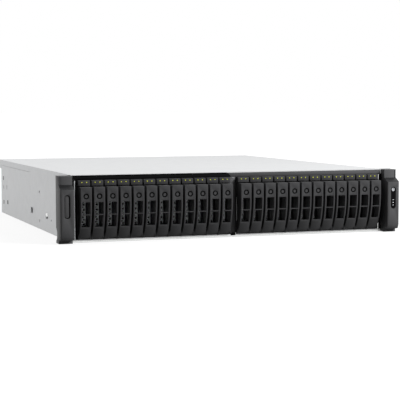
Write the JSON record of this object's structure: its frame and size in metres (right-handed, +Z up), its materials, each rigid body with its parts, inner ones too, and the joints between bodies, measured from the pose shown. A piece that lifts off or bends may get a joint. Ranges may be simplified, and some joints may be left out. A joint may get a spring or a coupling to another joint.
{
  "type": "rackmount nas server",
  "caption": "Low, wide rack storage server: upright drive trays with curved levers between two rack ears, steel body with a sliding lid, fans and two plug-in power supplies.",
  "frame": {"origin": "bottom centre of the whole server's box", "axes": "+X to the right seen from the front, +Y to the rear, +Z up"},
  "size_m": [0.4826, 0.5484, 0.088],
  "materials": {
    "zinc_steel": "galvanised sheet steel, satin",
    "frame_plastic": "black moulded plastic, satin",
    "ear_plastic": "dark grey moulded plastic, fine grain",
    "button_plastic": "white translucent plastic",
    "tray_plastic": "dark grey moulded plastic",
    "lever_plastic": "dark grey moulded plastic, fine grain",
    "circuit_board": "green solder mask",
    "fan_plastic": "black glass-filled plastic",
    "supply_steel": "bare sheet steel"
  },
  "bodies": {
    "chassis": {"chassis_base": "zinc_steel", "front_frame": "frame_plastic", "rack_ears": "ear_plastic", "circuit_boards": "circuit_board", "fan_frames": "fan_plastic"},
    "cover": {"top_cover": "zinc_steel"},
    "button": {"power_button": "button_plastic"},
    "supply_lower": {"psu_lower": "supply_steel"},
    "supply_upper": {"psu_upper": "supply_steel"},
    "rotor_1": {"fan_rotor_1": "fan_plastic"},
    "rotor_2": {"fan_rotor_2": "fan_plastic"},
    "rotor_3": {"fan_rotor_3": "fan_plastic"},
    "tray_01": {"tray_01": "tray_plastic"},
    "lever_01": {"lever_01": "lever_plastic"},
    "tray_02": {"tray_02": "tray_plastic"},
    "lever_02": {"lever_02": "lever_plastic"},
    "tray_03": {"tray_03": "tray_plastic"},
    "lever_03": {"lever_03": "lever_plastic"},
    "tray_04": {"tray_04": "tray_plastic"},
    "lever_04": {"lever_04": "lever_plastic"},
    "tray_05": {"tray_05": "tray_plastic"},
    "lever_05": {"lever_05": "lever_plastic"},
    "tray_06": {"tray_06": "tray_plastic"},
    "lever_06": {"lever_06": "lever_plastic"},
    "tray_07": {"tray_07": "tray_plastic"},
    "lever_07": {"lever_07": "lever_plastic"},
    "tray_08": {"tray_08": "tray_plastic"},
    "lever_08": {"lever_08": "lever_plastic"},
    "tray_09": {"tray_09": "tray_plastic"},
    "lever_09": {"lever_09": "lever_plastic"},
    "tray_10": {"tray_10": "tray_plastic"},
    "lever_10": {"lever_10": "lever_plastic"},
    "tray_11": {"tray_11": "tray_plastic"},
    "lever_11": {"lever_11": "lever_plastic"},
    "tray_12": {"tray_12": "tray_plastic"},
    "lever_12": {"lever_12": "lever_plastic"},
    "tray_13": {"tray_13": "tray_plastic"},
    "lever_13": {"lever_13": "lever_plastic"},
    "tray_14": {"tray_14": "tray_plastic"},
    "lever_14": {"lever_14": "lever_plastic"},
    "tray_15": {"tray_15": "tray_plastic"},
    "lever_15": {"lever_15": "lever_plastic"},
    "tray_16": {"tray_16": "tray_plastic"},
    "lever_16": {"lever_16": "lever_plastic"},
    "tray_17": {"tray_17": "tray_plastic"},
    "lever_17": {"lever_17": "lever_plastic"},
    "tray_18": {"tray_18": "tray_plastic"},
    "lever_18": {"lever_18": "lever_plastic"},
    "tray_19": {"tray_19": "tray_plastic"},
    "lever_19": {"lever_19": "lever_plastic"},
    "tray_20": {"tray_20": "tray_plastic"},
    "lever_20": {"lever_20": "lever_plastic"},
    "tray_21": {"tray_21": "tray_plastic"},
    "lever_21": {"lever_21": "lever_plastic"},
    "tray_22": {"tray_22": "tray_plastic"},
    "lever_22": {"lever_22": "lever_plastic"},
    "tray_23": {"tray_23": "tray_plastic"},
    "lever_23": {"lever_23": "lever_plastic"},
    "tray_24": {"tray_24": "tray_plastic"},
    "lever_24": {"lever_24": "lever_plastic"}
  },
  "joints": [
    {"name": "cover_slide", "type": "slide", "parent": "chassis", "child": "cover", "axis": [0, 1, 0], "range_m": [0, 0.015]},
    {"name": "button_press", "type": "slide", "parent": "chassis", "child": "button", "axis": [0, 1, 0], "range_m": [0, 0.0012], "stiffness_N_per_m": 350},
    {"name": "supply_lower_slide", "type": "slide", "parent": "chassis", "child": "supply_lower", "axis": [0, 1, 0], "range_m": [0, 0.19]},
    {"name": "supply_upper_slide", "type": "slide", "parent": "chassis", "child": "supply_upper", "axis": [0, 1, 0], "range_m": [0, 0.19]},
    {"name": "rotor_1_spin", "type": "hinge", "parent": "chassis", "child": "rotor_1", "pos_m": [-0.145, -0.0938, 0.0412], "axis": [0, 1, 0], "continuous": true},
    {"name": "rotor_2_spin", "type": "hinge", "parent": "chassis", "child": "rotor_2", "pos_m": [0, -0.0938, 0.0412], "axis": [0, 1, 0], "continuous": true},
    {"name": "rotor_3_spin", "type": "hinge", "parent": "chassis", "child": "rotor_3", "pos_m": [0.145, -0.0938, 0.0412], "axis": [0, 1, 0], "continuous": true},
    {"name": "tray_01_slide", "type": "slide", "parent": "chassis", "child": "tray_01", "axis": [0, -1, 0], "range_m": [0, 0.15]},
    {"name": "lever_01_hinge", "type": "hinge", "parent": "tray_01", "child": "lever_01", "pos_m": [-0.2069, -0.25743, 0.009], "axis": [1, 0, 0], "range_deg": [0, 60]},
    {"name": "tray_02_slide", "type": "slide", "parent": "chassis", "child": "tray_02", "axis": [0, -1, 0], "range_m": [0, 0.15]},
    {"name": "lever_02_hinge", "type": "hinge", "parent": "tray_02", "child": "lever_02", "pos_m": [-0.1893, -0.25743, 0.009], "axis": [1, 0, 0], "range_deg": [0, 60]},
    {"name": "tray_03_slide", "type": "slide", "parent": "chassis", "child": "tray_03", "axis": [0, -1, 0], "range_m": [0, 0.15]},
    {"name": "lever_03_hinge", "type": "hinge", "parent": "tray_03", "child": "lever_03", "pos_m": [-0.1717, -0.25743, 0.009], "axis": [1, 0, 0], "range_deg": [0, 60]},
    {"name": "tray_04_slide", "type": "slide", "parent": "chassis", "child": "tray_04", "axis": [0, -1, 0], "range_m": [0, 0.15]},
    {"name": "lever_04_hinge", "type": "hinge", "parent": "tray_04", "child": "lever_04", "pos_m": [-0.1541, -0.25743, 0.009], "axis": [1, 0, 0], "range_deg": [0, 60]},
    {"name": "tray_05_slide", "type": "slide", "parent": "chassis", "child": "tray_05", "axis": [0, -1, 0], "range_m": [0, 0.15]},
    {"name": "lever_05_hinge", "type": "hinge", "parent": "tray_05", "child": "lever_05", "pos_m": [-0.1365, -0.25743, 0.009], "axis": [1, 0, 0], "range_deg": [0, 60]},
    {"name": "tray_06_slide", "type": "slide", "parent": "chassis", "child": "tray_06", "axis": [0, -1, 0], "range_m": [0, 0.15]},
    {"name": "lever_06_hinge", "type": "hinge", "parent": "tray_06", "child": "lever_06", "pos_m": [-0.1189, -0.25743, 0.009], "axis": [1, 0, 0], "range_deg": [0, 60]},
    {"name": "tray_07_slide", "type": "slide", "parent": "chassis", "child": "tray_07", "axis": [0, -1, 0], "range_m": [0, 0.15]},
    {"name": "lever_07_hinge", "type": "hinge", "parent": "tray_07", "child": "lever_07", "pos_m": [-0.1013, -0.25743, 0.009], "axis": [1, 0, 0], "range_deg": [0, 60]},
    {"name": "tray_08_slide", "type": "slide", "parent": "chassis", "child": "tray_08", "axis": [0, -1, 0], "range_m": [0, 0.15]},
    {"name": "lever_08_hinge", "type": "hinge", "parent": "tray_08", "child": "lever_08", "pos_m": [-0.0837, -0.25743, 0.009], "axis": [1, 0, 0], "range_deg": [0, 60]},
    {"name": "tray_09_slide", "type": "slide", "parent": "chassis", "child": "tray_09", "axis": [0, -1, 0], "range_m": [0, 0.15]},
    {"name": "lever_09_hinge", "type": "hinge", "parent": "tray_09", "child": "lever_09", "pos_m": [-0.0661, -0.25743, 0.009], "axis": [1, 0, 0], "range_deg": [0, 60]},
    {"name": "tray_10_slide", "type": "slide", "parent": "chassis", "child": "tray_10", "axis": [0, -1, 0], "range_m": [0, 0.15]},
    {"name": "lever_10_hinge", "type": "hinge", "parent": "tray_10", "child": "lever_10", "pos_m": [-0.0485, -0.25743, 0.009], "axis": [1, 0, 0], "range_deg": [0, 60]},
    {"name": "tray_11_slide", "type": "slide", "parent": "chassis", "child": "tray_11", "axis": [0, -1, 0], "range_m": [0, 0.15]},
    {"name": "lever_11_hinge", "type": "hinge", "parent": "tray_11", "child": "lever_11", "pos_m": [-0.0309, -0.25743, 0.009], "axis": [1, 0, 0], "range_deg": [0, 60]},
    {"name": "tray_12_slide", "type": "slide", "parent": "chassis", "child": "tray_12", "axis": [0, -1, 0], "range_m": [0, 0.15]},
    {"name": "lever_12_hinge", "type": "hinge", "parent": "tray_12", "child": "lever_12", "pos_m": [-0.0133, -0.25743, 0.009], "axis": [1, 0, 0], "range_deg": [0, 60]},
    {"name": "tray_13_slide", "type": "slide", "parent": "chassis", "child": "tray_13", "axis": [0, -1, 0], "range_m": [0, 0.15]},
    {"name": "lever_13_hinge", "type": "hinge", "parent": "tray_13", "child": "lever_13", "pos_m": [0.0133, -0.25743, 0.009], "axis": [1, 0, 0], "range_deg": [0, 60]},
    {"name": "tray_14_slide", "type": "slide", "parent": "chassis", "child": "tray_14", "axis": [0, -1, 0], "range_m": [0, 0.15]},
    {"name": "lever_14_hinge", "type": "hinge", "parent": "tray_14", "child": "lever_14", "pos_m": [0.0309, -0.25743, 0.009], "axis": [1, 0, 0], "range_deg": [0, 60]},
    {"name": "tray_15_slide", "type": "slide", "parent": "chassis", "child": "tray_15", "axis": [0, -1, 0], "range_m": [0, 0.15]},
    {"name": "lever_15_hinge", "type": "hinge", "parent": "tray_15", "child": "lever_15", "pos_m": [0.0485, -0.25743, 0.009], "axis": [1, 0, 0], "range_deg": [0, 60]},
    {"name": "tray_16_slide", "type": "slide", "parent": "chassis", "child": "tray_16", "axis": [0, -1, 0], "range_m": [0, 0.15]},
    {"name": "lever_16_hinge", "type": "hinge", "parent": "tray_16", "child": "lever_16", "pos_m": [0.0661, -0.25743, 0.009], "axis": [1, 0, 0], "range_deg": [0, 60]},
    {"name": "tray_17_slide", "type": "slide", "parent": "chassis", "child": "tray_17", "axis": [0, -1, 0], "range_m": [0, 0.15]},
    {"name": "lever_17_hinge", "type": "hinge", "parent": "tray_17", "child": "lever_17", "pos_m": [0.0837, -0.25743, 0.009], "axis": [1, 0, 0], "range_deg": [0, 60]},
    {"name": "tray_18_slide", "type": "slide", "parent": "chassis", "child": "tray_18", "axis": [0, -1, 0], "range_m": [0, 0.15]},
    {"name": "lever_18_hinge", "type": "hinge", "parent": "tray_18", "child": "lever_18", "pos_m": [0.1013, -0.25743, 0.009], "axis": [1, 0, 0], "range_deg": [0, 60]},
    {"name": "tray_19_slide", "type": "slide", "parent": "chassis", "child": "tray_19", "axis": [0, -1, 0], "range_m": [0, 0.15]},
    {"name": "lever_19_hinge", "type": "hinge", "parent": "tray_19", "child": "lever_19", "pos_m": [0.1189, -0.25743, 0.009], "axis": [1, 0, 0], "range_deg": [0, 60]},
    {"name": "tray_20_slide", "type": "slide", "parent": "chassis", "child": "tray_20", "axis": [0, -1, 0], "range_m": [0, 0.15]},
    {"name": "lever_20_hinge", "type": "hinge", "parent": "tray_20", "child": "lever_20", "pos_m": [0.1365, -0.25743, 0.009], "axis": [1, 0, 0], "range_deg": [0, 60]},
    {"name": "tray_21_slide", "type": "slide", "parent": "chassis", "child": "tray_21", "axis": [0, -1, 0], "range_m": [0, 0.15]},
    {"name": "lever_21_hinge", "type": "hinge", "parent": "tray_21", "child": "lever_21", "pos_m": [0.1541, -0.25743, 0.009], "axis": [1, 0, 0], "range_deg": [0, 60]},
    {"name": "tray_22_slide", "type": "slide", "parent": "chassis", "child": "tray_22", "axis": [0, -1, 0], "range_m": [0, 0.15]},
    {"name": "lever_22_hinge", "type": "hinge", "parent": "tray_22", "child": "lever_22", "pos_m": [0.1717, -0.25743, 0.009], "axis": [1, 0, 0], "range_deg": [0, 60]},
    {"name": "tray_23_slide", "type": "slide", "parent": "chassis", "child": "tray_23", "axis": [0, -1, 0], "range_m": [0, 0.15]},
    {"name": "lever_23_hinge", "type": "hinge", "parent": "tray_23", "child": "lever_23", "pos_m": [0.1893, -0.25743, 0.009], "axis": [1, 0, 0], "range_deg": [0, 60]},
    {"name": "tray_24_slide", "type": "slide", "parent": "chassis", "child": "tray_24", "axis": [0, -1, 0], "range_m": [0, 0.15]},
    {"name": "lever_24_hinge", "type": "hinge", "parent": "tray_24", "child": "lever_24", "pos_m": [0.2069, -0.25743, 0.009], "axis": [1, 0, 0], "range_deg": [0, 60]}
  ]
}
